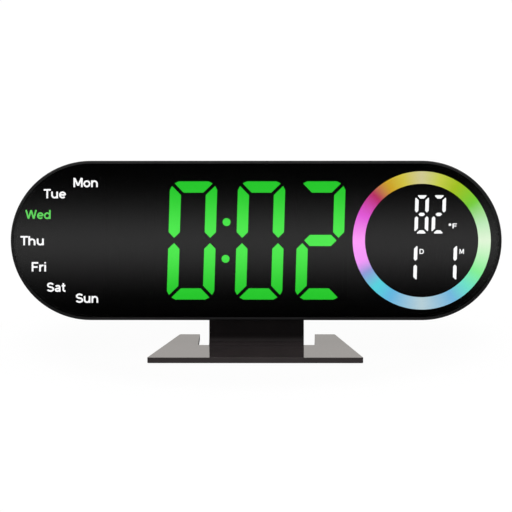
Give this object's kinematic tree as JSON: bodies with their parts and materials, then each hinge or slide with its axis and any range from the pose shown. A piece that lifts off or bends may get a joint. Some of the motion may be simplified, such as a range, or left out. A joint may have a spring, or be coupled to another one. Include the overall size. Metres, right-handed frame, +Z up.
{
  "type": "digital led desk clock",
  "caption": "Pill-shaped black LED desk clock with green digits, a colour ring round a small calendar display and weekday words, leaning on a bent plate stand.",
  "frame": {"origin": "on the table under the middle of the stand's footprint", "axes": "+Z up, the face looks towards -Y and leans back by ten degrees, +X to the right of someone who reads it"},
  "size_m": [0.2658, 0.0668, 0.1039],
  "materials": {
    "housing": "satin moulded black",
    "lens": "smoked acrylic, gloss",
    "tape": "black foam tape",
    "reflector": "black face",
    "green_light": "lit green diffuser",
    "white_light": "lit white diffuser",
    "dark_segment": "smoked diffuser, off",
    "ring_glow": "milky diffuser, lit in changing colours",
    "guide": "light guide with a black printed face",
    "board": "green circuit board",
    "led": "LED package",
    "component": "moulded black",
    "metal": "plated steel",
    "contact": "plated spring strip",
    "button": "satin dark grey",
    "stand": "gloss black sheet",
    "pad": "matt black"
  },
  "bodies": {
    "stand": {"stand_plate": "stand", "stand_pads": "pad"},
    "clock": {"front_housing": "housing", "rear_cover": "housing", "front_lens": "lens", "lens_adhesive": "tape", "digit_reflector": "reflector", "ring_carrier": "reflector", "hour_segments": "green_light", "minute_tens_segments": "green_light", "minute_segments": "green_light", "colon_dots": "green_light", "temperature_segments": "white_light", "date_segments": "white_light", "unlit_digit_segments": "dark_segment", "unlit_calendar_segments": "dark_segment", "ring_light_guide": "ring_glow", "mon_light_guide": "guide", "tue_light_guide": "guide", "wed_light_guide": "guide", "thu_light_guide": "guide", "fri_light_guide": "guide", "sat_light_guide": "guide", "sun_light_guide": "guide", "degree_light_guide": "guide", "day_light_guide": "guide", "month_light_guide": "guide", "main_board": "board", "digit_leds": "led", "calendar_leds": "led", "weekday_leds": "led", "ring_leds": "led", "controller_chip": "component", "led_drivers": "component", "buzzer": "component", "temperature_sensor": "component", "power_socket_insert": "component", "tact_switches": "component", "crystal": "metal", "capacitors": "metal", "power_socket_shell": "metal", "coin_cell": "metal", "rear_cover_screws": "metal", "board_screws": "metal", "positive_contact": "contact", "negative_contact": "contact"},
    "mode_button": {"mode_button": "button", "mode_switch_plunger": "component"},
    "set_button": {"set_button": "button", "set_switch_plunger": "component"},
    "up_button": {"up_button": "button", "up_switch_plunger": "component"},
    "down_button": {"down_button": "button", "down_switch_plunger": "component"},
    "alarm_button": {"alarm_button": "button", "alarm_switch_plunger": "component"},
    "battery_door": {"battery_door": "housing"}
  },
  "joints": [
    {"name": "clock_lift", "type": "slide", "parent": "stand", "child": "clock", "axis": [0, 0.1736, 0.9848], "range_m": [0, 0.016]},
    {"name": "mode_press", "type": "slide", "parent": "clock", "child": "mode_button", "axis": [0, -0.9848, 0.1736], "range_m": [0, 0.0006], "stiffness_N_per_m": 1500},
    {"name": "set_press", "type": "slide", "parent": "clock", "child": "set_button", "axis": [0, -0.9848, 0.1736], "range_m": [0, 0.0006], "stiffness_N_per_m": 1500},
    {"name": "up_press", "type": "slide", "parent": "clock", "child": "up_button", "axis": [0, -0.9848, 0.1736], "range_m": [0, 0.0006], "stiffness_N_per_m": 1500},
    {"name": "down_press", "type": "slide", "parent": "clock", "child": "down_button", "axis": [0, -0.9848, 0.1736], "range_m": [0, 0.0006], "stiffness_N_per_m": 1500},
    {"name": "alarm_press", "type": "slide", "parent": "clock", "child": "alarm_button", "axis": [0, -0.9848, 0.1736], "range_m": [0, 0.0006], "stiffness_N_per_m": 1500},
    {"name": "battery_door_turn", "type": "hinge", "parent": "clock", "child": "battery_door", "pos_m": [-0.0897, 0.02571, 0.05547], "axis": [0, 0.9848, -0.1736], "range_deg": [0, 45]}
  ]
}
